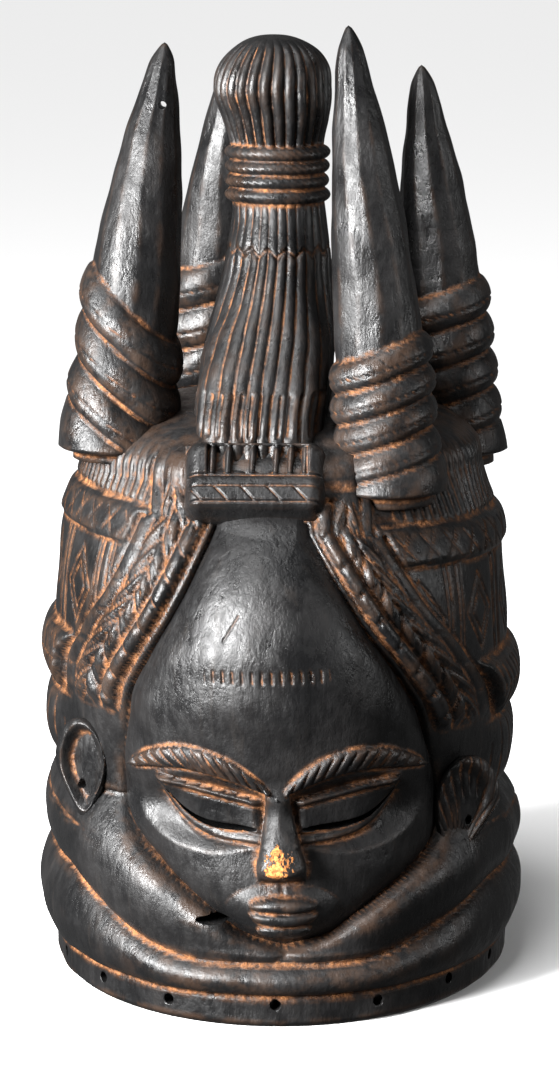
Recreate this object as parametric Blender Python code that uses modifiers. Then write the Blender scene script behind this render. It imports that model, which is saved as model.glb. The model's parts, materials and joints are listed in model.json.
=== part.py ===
"""Carved wooden helmet mask with ringed neck, small face, domed forehead and four-horned coiffure.

The mask is one block of wood, hollowed from below. Metres, +Z up. The face looks along -Y and the
mask stands on the rim of its neck. Angles are measured round the head from the face, positive
towards +X.
"""

import math

import bmesh
import bpy
import numpy as np
from mathutils import Matrix, Vector

MM = 0.001

# Driving dimensions of the block
HEAD_TALL = 242 * MM  # rim to crown, without horns and bun
HEAD_WIDE = 196 * MM  # across the rim
HEAD_DEEP = 236 * MM  # face to nape at the rim
BUN_TOP = 392 * MM  # rim to the top of the hair bun
WALL = 14 * MM  # thickness left by the hollowing
LEAN = 6 * MM  # the carver set the left side this much high and the right side this much low

# Sizes on the drawing that the shares below were taken from
DRAWN_TALL = 242
DRAWN_WIDE = 196
DRAWN_DEEP = 236


def up(mm):
    """Height above the rim, as a share of the head's height."""
    return mm / DRAWN_TALL * HEAD_TALL


def across(mm):
    """Distance from the middle line, as a share of the head's width."""
    return mm / DRAWN_WIDE * HEAD_WIDE


def deep(mm):
    """Distance in front of or behind the head's middle, as a share of its depth."""
    return mm / DRAWN_DEEP * HEAD_DEEP


def curve_through(knots, where):
    """Smooth curve through (place, value) knots: cubic pieces with finite-difference slopes."""
    at, value = np.array(knots, float).T
    slope = np.gradient(value, at)
    where = np.clip(where, at[0], at[-1])
    i = np.clip(np.searchsorted(at, where) - 1, 0, len(at) - 2)
    step = at[i + 1] - at[i]
    t = (where - at[i]) / step
    start = (1 + 2 * t) * (1 - t) ** 2 * value[i] + t * (1 - t) ** 2 * step * slope[i]
    end = t * t * (3 - 2 * t) * value[i + 1] + t * t * (t - 1) * step * slope[i + 1]
    return start + end


def ease(low, high, x):
    """0 below low, 1 above high, and a smooth step between them."""
    t = np.clip((x - low) / (high - low), 0, 1)
    return t * t * (3 - 2 * t)


def hump(x, middle, half):
    """Round ridge of height 1 and the given half width, as the section of a cord is."""
    return np.sqrt(np.clip(1 - ((x - middle) / half) ** 2, 0, 1))


def spot(x, y, half_x, half_y):
    """Soft round mound of height 1, gone at its half sizes."""
    return np.clip(1 - (x / half_x) ** 2 - (y / half_y) ** 2, 0, 1)


# The plain head: half widths and depths at heights above the rim
HEAD_HALF_WIDTH = [
    (up(z), across(w))
    for z, w in [(0, 97), (45, 98), (84, 94), (110, 96), (165, 95), (190, 92), (205, 87), (216, 84)]
]
HEAD_FRONT = [
    (up(z), deep(d))
    for z, d in [(0, 116), (45, 115), (90, 110), (131, 114), (165, 113), (190, 103), (205, 92), (216, 84)]
]
HEAD_BACK = [
    (up(z), deep(d))
    for z, d in [(0, 114), (45, 108), (84, 101), (131, 105), (165, 107), (190, 103), (216, 92)]
]
SHOULDER = up(216)  # height where the side of the head turns over into the crown
CROWN_SQUARENESS = 2.6
RIM_ROUNDING = 2.5 * MM
RIM_TRIM = 0.6 * MM  # sawn off the foot, so that it stands flat

# The face: a drop shape whose outline is given by half widths at heights
FACE_MIDDLE = [(up(z), across(x)) for z, x in [(33, 4.5), (88, 2), (118, 0), (147, -1.5), (204, -6)]]
FACE_HALF_WIDTH = [
    (up(z), across(w))
    for z, w in [(32, 0), (36, 14), (45, 29), (60, 51), (68, 61), (78, 67), (90, 68), (118, 63.5), (129, 61),
                 (147, 51.5), (165, 40), (184, 29), (200, 20)]
]
FACE_TOP = up(204)
FACE_ROUND_WIDTH = [
    (up(z), across(w)) for z, w in [(32, 86), (60, 90), (118, 90), (146, 86), (165, 80), (184, 73), (210, 60)]
]
FACE_FRONT = [
    (up(z), deep(d))
    for z, d in [(32, 112), (40, 116), (50, 118), (75, 116), (92, 115), (106, 121), (120, 125), (146, 127),
                 (165, 123), (184, 114), (200, 101), (210, 91)]
]
FACE_EDGE_DROP = 7 * MM
FACE_EDGE_SPREAD = 6 * MM
JAW_GROOVE = 4 * MM
EDGE_BLUR = 1.2 * MM

# Neck rings: heights of the grooves between them, in front and at the sides
RIM_BAND = up(14)
RING_GROOVE_FRONT = up(27)
RING_GROOVE_RISE = up(21)
RING_TOP = up(82)
LOWER_RING_PROUD = 6 * MM
UPPER_RING_PROUD = 6.5 * MM

# Hair: plaits along the hairline, two bands round the head, and the fringe under the horns
PLAIT_FOOT = up(119)
PLAIT_PROUD = 4.5 * MM
INNER_PLAIT = (5.2 * MM, 2.9 * MM)  # distance from the hairline, and half width
OUTER_PLAIT = (13.6 * MM, 5.2 * MM)
PANEL_EDGE = 20.5 * MM
LOW_BAND = (up(131), up(13))  # middle height and half height
LOW_BAND_PROUD = 6 * MM
NAPE_ROLL = (up(101), up(15))
NAPE_ROLL_PROUD = 5 * MM
HIGH_BAND = (up(195), up(7.5))
HIGH_BAND_PROUD = 2.5 * MM
FRINGE_FOOT = up(204)
FRINGE_DEEP = 1.6 * MM
FRINGE_LOCKS = 84
LOZENGES = 16  # round the whole head
LOZENGE_FOOT = up(147)
LOZENGE_TOP = up(184)
LOZENGE_CUT = 2 * MM

# Features of the face
BROW_X = across(34)
BROW_Z = up(107)
BROW_HALF = (across(25), up(5))
BROW_ARCH = up(10)
BROW_PROUD = 3 * MM
EYE_X = across(30)
EYE_Z = up(89)
EYE_HALF = (across(20), up(9.5))
SOCKET_DEEP = 3.5 * MM
LID_PROUD = 4.5 * MM
NOSE_TOP = up(106)
NOSE_TIP = up(68)
NOSE_FOOT = up(62)
NOSE_HALF_TOP = across(4)
NOSE_HALF_FOOT = across(8.5)
NOSE_PROUD = 12.5 * MM
MOUTH_Z = up(49.5)
MOUTH_HALF = (across(15), up(3))
LIP_PROUD = 6 * MM


def plain_head(angle, z):
    """Radius of the uncarved head: half ellipses in plan, one for the front and one for the back."""
    back = np.cos(angle) < 0
    half_deep = np.where(back, curve_through(HEAD_BACK, z), curve_through(HEAD_FRONT, z))
    return 1 / np.hypot(np.sin(angle) / curve_through(HEAD_HALF_WIDTH, z), np.cos(angle) / half_deep)


def face_outline(x, z):
    """Signed distance in metres outside the face's outline, negative on the face."""
    half = curve_through(FACE_HALF_WIDTH, z)
    tiny = 0.5 * MM
    slope = (curve_through(FACE_HALF_WIDTH, z + tiny) - curve_through(FACE_HALF_WIDTH, z - tiny)) / (2 * tiny)
    sideways = (np.abs(x - curve_through(FACE_MIDDLE, z)) - half) / np.hypot(1, slope)
    return np.maximum(np.maximum(sideways, z - FACE_TOP), FACE_HALF_WIDTH[0][0] - z)


def face_features(x, z):
    """Height of brows, eyelids, nose and lips over the face."""
    x = x - curve_through(FACE_MIDDLE, z)
    side = np.abs(x)
    arch = BROW_ARCH * (1 - ((side - BROW_X) / BROW_HALF[0]) ** 2)
    brow = hump(z - arch * 0.6, BROW_Z - BROW_ARCH * 0.3, BROW_HALF[1]) * ease(0, 0.3, arch / BROW_ARCH)
    socket = ease(0, 0.7, spot(side - EYE_X, z - EYE_Z, EYE_HALF[0] * 1.25, EYE_HALF[1] * 1.5))
    lid = np.sqrt(spot(side - EYE_X, z - EYE_Z, *EYE_HALF))
    down = np.clip((NOSE_TOP - z) / (NOSE_TOP - NOSE_TIP), 0, 1)
    half = NOSE_HALF_TOP + (NOSE_HALF_FOOT - NOSE_HALF_TOP) * down**2
    ridge = NOSE_PROUD * (0.3 * ease(0, 0.25, down) + 0.7 * down**1.4) * ease(NOSE_FOOT, NOSE_TIP, z)
    nose = ridge * np.sqrt(hump(x, 0, half))
    muzzle = spot(x, z - MOUTH_Z, MOUTH_HALF[0] * 1.5, up(14))
    lips = 0
    for middle, half_tall in ((MOUTH_Z + up(3.6), up(3.2)), (MOUTH_Z - up(3.4), up(3.6))):
        lips = np.maximum(lips, np.sqrt(spot(x, z - middle, MOUTH_HALF[0], half_tall)))
    return (BROW_PROUD * brow - SOCKET_DEEP * socket + LID_PROUD * lid + nose
            + LIP_PROUD * (0.55 * muzzle + 0.45 * lips))


def neck_rings(angle, z):
    """Height of the two neck rings over the plain head."""
    turn = np.abs(angle)
    groove = RING_GROOVE_FRONT + RING_GROOVE_RISE * ease(math.radians(14), math.radians(62), turn)
    lower = np.clip((z - RIM_BAND) / (groove - RIM_BAND), 0, 1)
    upper = np.clip((z - groove) / (RING_TOP - groove), 0, 1)
    return (LOWER_RING_PROUD * np.sin(math.pi * lower) ** 0.75
            + UPPER_RING_PROUD * np.sin(math.pi * upper) ** 0.75)


def hair_relief(angle, z, outside):
    """Height of the bands, rolls, fringe, lozenges and plaits; outside is the distance past the hairline."""
    past_plaits = ease(PANEL_EDGE - 1 * MM, PANEL_EDGE + 1 * MM, outside)
    low_band = LOW_BAND_PROUD * hump(z, *LOW_BAND) * past_plaits
    nape = NAPE_ROLL_PROUD * hump(z, *NAPE_ROLL) * ease(math.radians(52), math.radians(75), np.abs(angle))
    high_band = HIGH_BAND_PROUD * hump(z, *HIGH_BAND) * past_plaits
    locks = FRINGE_DEEP * (0.5 - 0.5 * np.cos(FRINGE_LOCKS * angle)) * ease(0, 2 * MM, z - FRINGE_FOOT)
    pitch = 2 * math.pi / LOZENGES
    across_one = np.abs((angle / pitch) % 1 - 0.5) * 2
    up_one = np.abs((z - LOZENGE_FOOT) / (LOZENGE_TOP - LOZENGE_FOOT) - 0.5) * 2
    edge = np.abs(across_one * 1.5 + up_one - 0.9)
    cut = LOZENGE_CUT * ease(0.22, 0.05, edge) * (up_one < 1)
    along = ease(PLAIT_FOOT, PLAIT_FOOT + 6 * MM, z)
    plaits = PLAIT_PROUD * along * (hump(outside, *INNER_PLAIT) + 0.75 * hump(outside, *OUTER_PLAIT))
    return low_band + nape + high_band + (locks - cut) * past_plaits + plaits


def carved_head(angle, z):
    """Radius of the finished carving round the head and neck at a height."""
    plain = plain_head(angle, z)
    x = plain * np.sin(angle)
    carved_z = z + LEAN * np.sin(angle) * ease(RIM_BAND, RING_TOP, z)
    outside = face_outline(x, carved_z)
    front = np.cos(angle) > 0
    outside = np.where(front, outside, HEAD_WIDE)
    hair = hair_relief(angle, carved_z, outside) * ease(RING_TOP - 2 * MM, RING_TOP + 4 * MM, carved_z)
    jaw = JAW_GROOVE * np.exp(-np.clip(outside, 0, None) / (3.5 * MM)) * ease(up(130), up(100), carved_z)
    rest = plain + neck_rings(angle, carved_z) + hair - jaw
    face = 1 / np.hypot(np.sin(angle) / curve_through(FACE_ROUND_WIDTH, z), np.cos(angle) / curve_through(FACE_FRONT, z))
    inside = np.clip(outside, None, 0)
    face = face - FACE_EDGE_DROP * np.exp(inside / FACE_EDGE_SPREAD) + face_features(x, z)
    on_face = ease(EDGE_BLUR, -EDGE_BLUR, outside)
    return face * on_face + rest * (1 - on_face)


def shaped_ball(name, segments, rings, place):
    """A UV sphere whose points are moved to place(angle, level), with level 0 at the top and 1 at the foot."""
    mesh = bpy.data.meshes.new(name)
    ball = bmesh.new()
    bmesh.ops.create_uvsphere(ball, u_segments=segments, v_segments=rings, radius=1)
    ball.to_mesh(mesh)
    ball.free()
    points = np.empty(len(mesh.vertices) * 3, np.float32)
    mesh.vertices.foreach_get("co", points)
    points = points.reshape(-1, 3).astype(float)
    angle = np.arctan2(points[:, 0], -points[:, 1])
    level = np.arccos(np.clip(points[:, 2], -1, 1)) / math.pi
    moved = place(angle, level)
    mesh.vertices.foreach_set("co", moved.astype(np.float32).ravel())
    mesh.update()
    obj = bpy.data.objects.new(name, mesh)
    bpy.context.scene.collection.objects.link(obj)
    return obj


def head_rows(level):
    """Height and shrink of the head at a level: crown, then the side, then the flat underside."""
    crown_share, side_share = 0.13, 0.97
    turn = np.clip(level / crown_share, 0, 1) * math.pi / 2
    side = np.clip((level - crown_share) / (side_share - crown_share), 0, 1)
    under = np.clip((level - side_share) / (1 - side_share), 0, 1)
    power = 2 / CROWN_SQUARENESS
    z = np.where(level < crown_share,
                 SHOULDER + (HEAD_TALL - SHOULDER) * np.abs(np.cos(turn)) ** power,
                 SHOULDER * (1 - side))
    shrink = np.where(level < crown_share, np.abs(np.sin(turn)) ** power, 1 - under)
    return z, shrink


def head_point(angle, level):
    z, shrink = head_rows(level)
    radius = carved_head(angle, np.minimum(z, SHOULDER))
    radius = (radius - RIM_ROUNDING * ease(RIM_ROUNDING, 0, z)) * shrink
    return np.stack([radius * np.sin(angle), -radius * np.cos(angle), z], 1)


# The hollow
HOLLOW_TOP = up(202)
HOLLOW_TURN = up(120)
BELOW = 20 * MM  # how far cutters run past what they cut


def hollow_point(angle, level):
    """Smooth inside of the head, a wall's thickness in from the plain outside, open below the rim."""
    turn = np.clip(level / 0.5, 0, 1) * math.pi / 2
    side = np.clip((level - 0.5) / 0.45, 0, 1)
    under = np.clip((level - 0.95) / 0.05, 0, 1)
    z = np.where(level < 0.5, HOLLOW_TURN + (HOLLOW_TOP - HOLLOW_TURN) * np.cos(turn), HOLLOW_TURN * (1 - side))
    shrink = np.where(level < 0.5, np.sin(turn) ** 0.8, 1 - under)
    radius = (plain_head(angle, z) - WALL) * shrink
    return np.stack([radius * np.sin(angle), -radius * np.cos(angle), z - BELOW * side**8], 1)


# Horns: foot and tip in plan, foot and tip heights, and how the coils of hair lie round them
HORNS = {
    "front_left": dict(foot=(-66, -30), tip=(-47.5, -15), low=219, high=389, radius=20, coils=3, pitch=18.5,
                       coil_low=224, slant=33, toward=60),
    "front_right": dict(foot=(45, -62), tip=(28, -45), low=206, high=397, radius=18.5, coils=4, pitch=12.5,
                        coil_low=213, slant=-11, toward=20),
    "back_right": dict(foot=(72, 40), tip=(58.5, 25), low=206, high=378, radius=19.5, coils=4, pitch=16,
                       coil_low=213, slant=12, toward=100),
    "back_left": dict(foot=(-38, 72), tip=(-20, 52), low=206, high=385, radius=20, coils=4, pitch=18,
                      coil_low=216, slant=-14, toward=-60),
}
COIL_PROUD = 3.6 * MM
HORN_TIP = 2.6 * MM
HORN_BELLY = 3  # how long the horn keeps its thickness before it tapers
HORN_BEND = 1.3  # how late its middle line turns inwards


def horn_point(angle, level, horn):
    """A horn: its middle line bows inwards to the tip, and slanting coils swell round its lower part."""
    low, high = up(horn["low"]), up(horn["low"]) + (horn["high"] - horn["low"]) * MM
    cap = np.clip(level / 0.06, 0, 1)
    rise = np.clip((1 - level) / 0.9, 0, 1) ** 0.9
    z = low + (high - low) * rise
    bend = rise**HORN_BEND
    middle_x = across(horn["foot"][0]) + (horn["tip"][0] - horn["foot"][0]) * MM * bend
    middle_y = deep(horn["foot"][1]) + (horn["tip"][1] - horn["foot"][1]) * MM * bend
    thick = horn["radius"] * MM
    taper = 1 - rise**HORN_BELLY
    radius = (HORN_TIP + (thick - HORN_TIP) * taper) * np.sqrt(1 - (1 - cap) ** 2)
    radius = np.where(level > 0.9, thick * np.clip((1 - level) / 0.1, 0, 1) ** 0.5, radius)
    pitch = horn["pitch"] * MM
    slanted = z - up(horn["coil_low"]) - horn["slant"] * MM * 0.5 * np.cos(angle - math.radians(horn["toward"]))
    coil = slanted / pitch
    on_coils = ease(-0.02, 0.1, coil) * ease(horn["coils"] + 0.02, horn["coils"] - 0.1, coil)
    swell = COIL_PROUD * np.abs(np.sin(math.pi * np.clip(coil, 0, horn["coils"]))) ** 0.6 * on_coils
    flare = COIL_PROUD * 0.9 * ease(1.1, 0.2, coil) * on_coils
    radius = radius + swell + flare
    return np.stack([middle_x + radius * np.sin(angle), middle_y - radius * np.cos(angle), z], 1)


# The swept-up hair: fluted column, binding cords and bun, in sections from the crown upwards
COLUMN_FOOT = up(226)
TIE_FOOT = 324 * MM
TIE_TOP = 347 * MM
COLUMN_SECTIONS = [
    # height, middle x, half width, middle y, half depth
    (226, -7.5, 27, -12, 69),
    (238, -7, 27.5, -12, 67),
    (255, -5.5, 27.5, -11.5, 57),
    (275, -3, 26, -10, 46),
    (302, -0.8, 21.5, -10, 32),
    (324, -1, 19, -10.5, 22),
    (336, -1.5, 18.8, -10, 21),
    (347, -1.5, 19, -9.5, 21),
    (358, -2, 22, -9, 24.5),
    (371, -3.5, 24.2, -8.5, 27),
    (380, -3, 21.8, -8.5, 24.5),
    (387, -2.5, 15.6, -8.5, 18),
    (391, -3, 7.5, -8.5, 9),
    (392, -3, 0, -8.5, 0),
]
COLUMN_SQUARENESS = 4  # of its plan at the foot; it is round at the binding
FLUTES = 30
FLUTE_DEEP = 1.5 * MM
TIE_CORDS = 4
TIE_PROUD = 2.8 * MM


def column_point(angle, level):
    """The fluted hair column with its binding and bun."""
    table = np.array(COLUMN_SECTIONS, float)
    stretch = (BUN_TOP - COLUMN_FOOT) / ((table[-1, 0] - table[0, 0]) * MM)
    heights = COLUMN_FOOT + (table[:, 0] - table[0, 0]) * MM * stretch
    along = np.clip(1 - level / 0.94, 0, 1)
    near_top = ease(0.75, 1, along)
    z = COLUMN_FOOT + (BUN_TOP - COLUMN_FOOT) * (along + 0.06 * near_top * (1 - along))
    columns = [curve_through(list(zip(heights, table[:, i] * MM)), z) for i in (1, 2, 3, 4)]
    middle_x, half_wide, middle_y, half_deep = columns
    half_wide, half_deep = np.maximum(half_wide, 0), np.maximum(half_deep, 0)
    foot = np.clip((1 - level) / 0.06, 0, 1)
    square = 2 + (COLUMN_SQUARENESS - 2) * ease(up(290), up(250), z)
    wide, front = np.sin(angle), np.cos(angle)
    out = (np.abs(wide) ** square + np.abs(front) ** square) ** (-1 / square)
    tie = (z - TIE_FOOT) / (TIE_TOP - TIE_FOOT)
    on_tie = (tie > 0) & (tie < 1)
    cords = TIE_PROUD * np.where(on_tie, np.abs(np.sin(math.pi * TIE_CORDS * tie)) ** 0.6, 0)
    fade = ease(COLUMN_FOOT, COLUMN_FOOT + 8 * MM, z) * ease(0, 6 * MM, half_wide)
    flutes = -FLUTE_DEEP * (0.5 + 0.5 * np.cos(FLUTES * angle)) * fade * np.where(on_tie, 0, 1)
    grow = cords + flutes
    x = middle_x + (half_wide + grow) * out * wide * foot
    y = middle_y - (half_deep + grow) * out * front * foot
    return np.stack([x, y, z], 1)


# Ears: flat dished plates set against the head beside the face
EARS = {
    "left": dict(at=(-82, -58, 91), turn=-38, size=(14, 21), hole=(-83, 83)),
    "right": dict(at=(79, -62, 77), turn=34, size=(16, 22), hole=(78.5, 70)),
}
EAR_THICK = 9 * MM
EAR_DISH = 4 * MM


def ear_point(angle, level, ear):
    """An ear in its own plane: a D shape with a raised outer edge round a shallow dish."""
    half_wide, half_tall = across(ear["size"][0]), up(ear["size"][1])
    outwards = math.copysign(1, ear["at"][0])
    spread = np.sin(level * math.pi) ** 0.7
    facing = np.cos(level * math.pi)
    thick = EAR_THICK * np.sign(facing) * np.abs(facing) ** 0.6 / 2
    dish = EAR_DISH * ease(0.85, 0.3, spread) * (facing > 0)
    across_ear = half_wide * spread * np.sin(angle)
    up_ear = -half_tall * spread * np.cos(angle)
    narrow = 1 - 0.35 * ease(0.1, -1, up_ear / half_tall)
    across_ear = across_ear * np.where(across_ear * outwards > 0, narrow, 0.85)
    turn = math.radians(ear["turn"])
    out = thick - dish
    x = across(ear["at"][0]) + across_ear * math.cos(turn) + out * math.sin(turn)
    y = deep(ear["at"][1]) + across_ear * math.sin(turn) - out * math.cos(turn)
    return np.stack([x, y, up(ear["at"][2]) + up_ear], 1)


# The charm case over the forehead, a flat box with a recessed comb of bars
CASE_SIZE = (56 * MM, 12 * MM, 32 * MM)
CASE_AT = (-8.3, -84, 219)
CASE_TILT = math.radians(31)
CASE_CORNER = 3 * MM
CASE_CELLS = 5
CELL_SIZE = (7.2 * MM, 4 * MM, 9 * MM)
CELL_PITCH = 8.2 * MM


def block(name, size, matrix):
    """A box from Blender's cube, with its size in its mesh."""
    mesh = bpy.data.meshes.new(name)
    cube = bmesh.new()
    bmesh.ops.create_cube(cube, size=1, matrix=matrix @ Matrix.Diagonal((*size, 1)))
    cube.to_mesh(mesh)
    cube.free()
    obj = bpy.data.objects.new(name, mesh)
    bpy.context.scene.collection.objects.link(obj)
    return obj


def case_matrix():
    place = Vector((across(CASE_AT[0]), deep(CASE_AT[1]), up(CASE_AT[2])))
    return Matrix.Translation(place) @ Matrix.Rotation(-CASE_TILT, 4, "X")


# Holes: eye slits, a break under the left jaw, holes round the rim, in the ears and in one horn
SLIT_HALF = 1.6 * MM
SLIT_X = across(27.5)
SLIT_HALF_LONG = across(18.5)
SLIT_LOW = up(83.2)
SLIT_RISE = up(13.5)
JAW_BREAK_AT = (across(-24), up(45))
JAW_BREAK_HALF = (7.5 * MM, 1.8 * MM)  # half length and half height
RIM_HOLE_RADIUS = 2.4 * MM
RIM_HOLE_HEIGHT = 9.5 * MM
RIM_HOLES = 17
EAR_HOLE_RADIUS = 2.2 * MM
EAR_HOLE_DEEP = 12 * MM
HORN_HOLE_RADIUS = 1.7 * MM
HORN_HOLE_AT = Vector((across(-48), deep(-19), 364 * MM))
HORN_HOLE_RUN = Vector((0, 40 * MM, 0))

# How many triangles each form keeps
HEAD_FACETS = 4100
HORN_FACETS = 480
COLUMN_FACETS = 1100
EAR_FACETS = 170
CASE_FACETS = 90


def rod(name, start, end, radius, sides=10):
    """A round bar between two points, from Blender's cone with equal ends."""
    start, end = Vector(start), Vector(end)
    turn = (end - start).to_track_quat("Z", "Y").to_matrix().to_4x4()
    mesh = bpy.data.meshes.new(name)
    bar = bmesh.new()
    bmesh.ops.create_cone(bar, cap_ends=True, segments=sides, radius1=radius, radius2=radius,
                          depth=(end - start).length, matrix=Matrix.Translation((start + end) / 2) @ turn)
    bar.to_mesh(mesh)
    bar.free()
    obj = bpy.data.objects.new(name, mesh)
    bpy.context.scene.collection.objects.link(obj)
    return obj


def slot_cutter(name, bend):
    """A slot through the front wall: a round bar along Y whose section is moved by bend(along, tall)."""
    obj = rod(name, (0, -deep(150), 0), (0, -deep(70), 0), 1, sides=16)
    for vertex in obj.data.vertices:
        vertex.co.x, vertex.co.z = bend(vertex.co.x, vertex.co.z)
    return obj


def eye_slit(side):
    """A slit that is level beside the nose and rises steeply to the eye's outer corner."""

    def bend(along, tall):
        outer = along * side
        rise = SLIT_RISE * ((1 + outer) / 2) ** 4
        return across(2) + side * (SLIT_X + SLIT_HALF_LONG * outer), SLIT_LOW + rise + SLIT_HALF * tall

    return slot_cutter("eye_slit", bend)


def jaw_break():
    """A ragged break along the border under the left jaw."""
    return slot_cutter("jaw_break", lambda along, tall: (
        JAW_BREAK_AT[0] + JAW_BREAK_HALF[0] * along, JAW_BREAK_AT[1] + JAW_BREAK_HALF[1] * (tall - along)))


def combine(obj, other, operation):
    """Booleans other into obj, applies it, and removes other.

    The exact solver loses the front left horn, so this uses the one for closed meshes.
    """
    modifier = obj.modifiers.new(other.name, "BOOLEAN")
    modifier.operation = operation
    modifier.solver = "MANIFOLD"
    modifier.object = other
    bpy.context.view_layer.update()
    done = bpy.data.meshes.new_from_object(obj.evaluated_get(bpy.context.evaluated_depsgraph_get()))
    obj.modifiers.remove(modifier)
    obj.data = done
    bpy.data.objects.remove(other)


def facet(obj, triangles):
    """Leaves about this many triangles, kept where the carving turns most."""
    modifier = obj.modifiers.new("facets", "DECIMATE")
    have = sum(len(p.vertices) - 2 for p in obj.data.polygons)
    modifier.ratio = min(1.0, triangles / have)
    bpy.context.view_layer.update()
    done = bpy.data.meshes.new_from_object(obj.evaluated_get(bpy.context.evaluated_depsgraph_get()))
    obj.modifiers.remove(modifier)
    obj.data = done


def wood(obj):
    """Blackened, oiled wood."""
    material = bpy.data.materials.new("blackened_wood")
    material.use_nodes = True
    shader = material.node_tree.nodes["Principled BSDF"]
    shader.inputs["Base Color"].default_value = (0.022, 0.02, 0.019, 1)
    shader.inputs["Roughness"].default_value = 0.42
    obj.data.materials.clear()
    obj.data.materials.append(material)


def cut_holes(mask):
    """Eye slits, the break under the left jaw, and the drilled holes of rim, ears and one horn."""
    for side in (-1, 1):
        combine(mask, eye_slit(side), "DIFFERENCE")
    combine(mask, jaw_break(), "DIFFERENCE")
    for i in range(RIM_HOLES):
        angle = 2 * math.pi * i / RIM_HOLES
        plain = float(plain_head(np.array(angle), np.array(RIM_HOLE_HEIGHT)))
        outwards = Vector((math.sin(angle), -math.cos(angle), 0))
        height = Vector((0, 0, RIM_HOLE_HEIGHT))
        start = outwards * (plain - WALL - BELOW) + height
        combine(mask, rod("rim_hole", start, outwards * (plain + BELOW) + height, RIM_HOLE_RADIUS), "DIFFERENCE")
    for side, ear in EARS.items():
        outwards = Vector((math.sin(math.radians(ear["turn"])), -math.cos(math.radians(ear["turn"])), 0))
        at = Vector((across(ear["hole"][0]), deep(ear["at"][1]), up(ear["hole"][1])))
        hole = rod(side + "_ear_hole", at - outwards * EAR_HOLE_DEEP, at + outwards * BELOW, EAR_HOLE_RADIUS)
        combine(mask, hole, "DIFFERENCE")
    horn_hole = rod("horn_hole", HORN_HOLE_AT - HORN_HOLE_RUN / 2, HORN_HOLE_AT + HORN_HOLE_RUN / 2, HORN_HOLE_RADIUS)
    combine(mask, horn_hole, "DIFFERENCE")


def build():
    for old in list(bpy.data.objects):
        bpy.data.objects.remove(old)
    mask = shaped_ball("carved_mask", 220, 190, head_point)
    facet(mask, HEAD_FACETS)
    for name, horn in HORNS.items():
        piece = shaped_ball(name + "_horn", 28, 72, lambda a, t, h=horn: horn_point(a, t, h))
        facet(piece, HORN_FACETS)
        combine(mask, piece, "UNION")
    column = shaped_ball("hair_column", 120, 90, column_point)
    facet(column, COLUMN_FACETS)
    combine(mask, column, "UNION")
    for side, ear in EARS.items():
        piece = shaped_ball(side + "_ear", 18, 10, lambda a, t, e=ear: ear_point(a, t, e))
        facet(piece, EAR_FACETS)
        combine(mask, piece, "UNION")
    case = block("charm_case", CASE_SIZE, case_matrix())
    case.modifiers.new("corners", "BEVEL").width = CASE_CORNER
    facet(case, CASE_FACETS)
    combine(mask, case, "UNION")
    for i in range(CASE_CELLS):
        offset = Vector(((i - (CASE_CELLS - 1) / 2) * CELL_PITCH, -CASE_SIZE[1] / 2, CASE_SIZE[2] * 0.16))
        cell = block("case_cell", CELL_SIZE, case_matrix() @ Matrix.Translation(offset))
        combine(mask, cell, "DIFFERENCE")
    combine(mask, shaped_ball("hollow", 30, 14, hollow_point), "DIFFERENCE")
    cut_holes(mask)
    saw = Matrix.Translation((0, 0, RIM_TRIM - BELOW / 2))
    combine(mask, block("level_cut", (2 * HEAD_WIDE, 2 * HEAD_DEEP, BELOW), saw), "DIFFERENCE")
    corners = np.array([corner[:] for corner in mask.bound_box])
    middle = (corners.min(0) + corners.max(0)) / 2
    mask.data.transform(Matrix.Translation((-middle[0], -middle[1], -corners[:, 2].min())))
    wood(mask)


build()
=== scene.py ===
import math

import bpy
import numpy as np
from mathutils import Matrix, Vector
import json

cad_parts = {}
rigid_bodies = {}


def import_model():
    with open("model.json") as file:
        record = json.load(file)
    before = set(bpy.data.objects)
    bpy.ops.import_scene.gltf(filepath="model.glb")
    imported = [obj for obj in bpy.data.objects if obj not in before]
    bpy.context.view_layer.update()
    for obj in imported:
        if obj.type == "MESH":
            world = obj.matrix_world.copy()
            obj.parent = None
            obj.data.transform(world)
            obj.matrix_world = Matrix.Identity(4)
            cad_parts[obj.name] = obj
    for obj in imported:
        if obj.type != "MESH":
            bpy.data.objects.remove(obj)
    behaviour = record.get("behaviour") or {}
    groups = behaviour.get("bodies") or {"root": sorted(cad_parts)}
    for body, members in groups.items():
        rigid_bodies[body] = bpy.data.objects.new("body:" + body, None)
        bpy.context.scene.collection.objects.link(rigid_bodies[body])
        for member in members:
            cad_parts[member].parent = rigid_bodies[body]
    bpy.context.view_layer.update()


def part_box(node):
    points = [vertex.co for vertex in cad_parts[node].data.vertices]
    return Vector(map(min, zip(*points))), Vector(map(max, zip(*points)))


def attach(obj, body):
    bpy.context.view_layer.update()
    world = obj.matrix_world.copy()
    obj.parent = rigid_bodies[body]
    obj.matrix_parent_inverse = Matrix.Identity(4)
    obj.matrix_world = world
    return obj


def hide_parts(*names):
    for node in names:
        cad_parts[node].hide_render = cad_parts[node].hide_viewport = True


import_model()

# The mask as drawn: the carver's drawing is in millimetres, with the face along -Y, the rim at height 0
# and angles counted round the head from the face, positive towards +X. The frame's box sets the scale.
NODE = "carved_mask"
DRAWN_HEIGHT = 396.4
low_corner, high_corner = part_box(NODE)
MM = (high_corner[2] - low_corner[2]) / DRAWN_HEIGHT
DRAWING_SHIFT = (0.0, 6.5, -0.6)  # from the drawing's middle to the middle of the box
chance = np.random.default_rng(7)


def place(drawn):
    """Drawing millimetres to metres in the frame: add the shift, then scale."""
    return (np.asarray(drawn, float) + DRAWING_SHIFT) * MM


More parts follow.
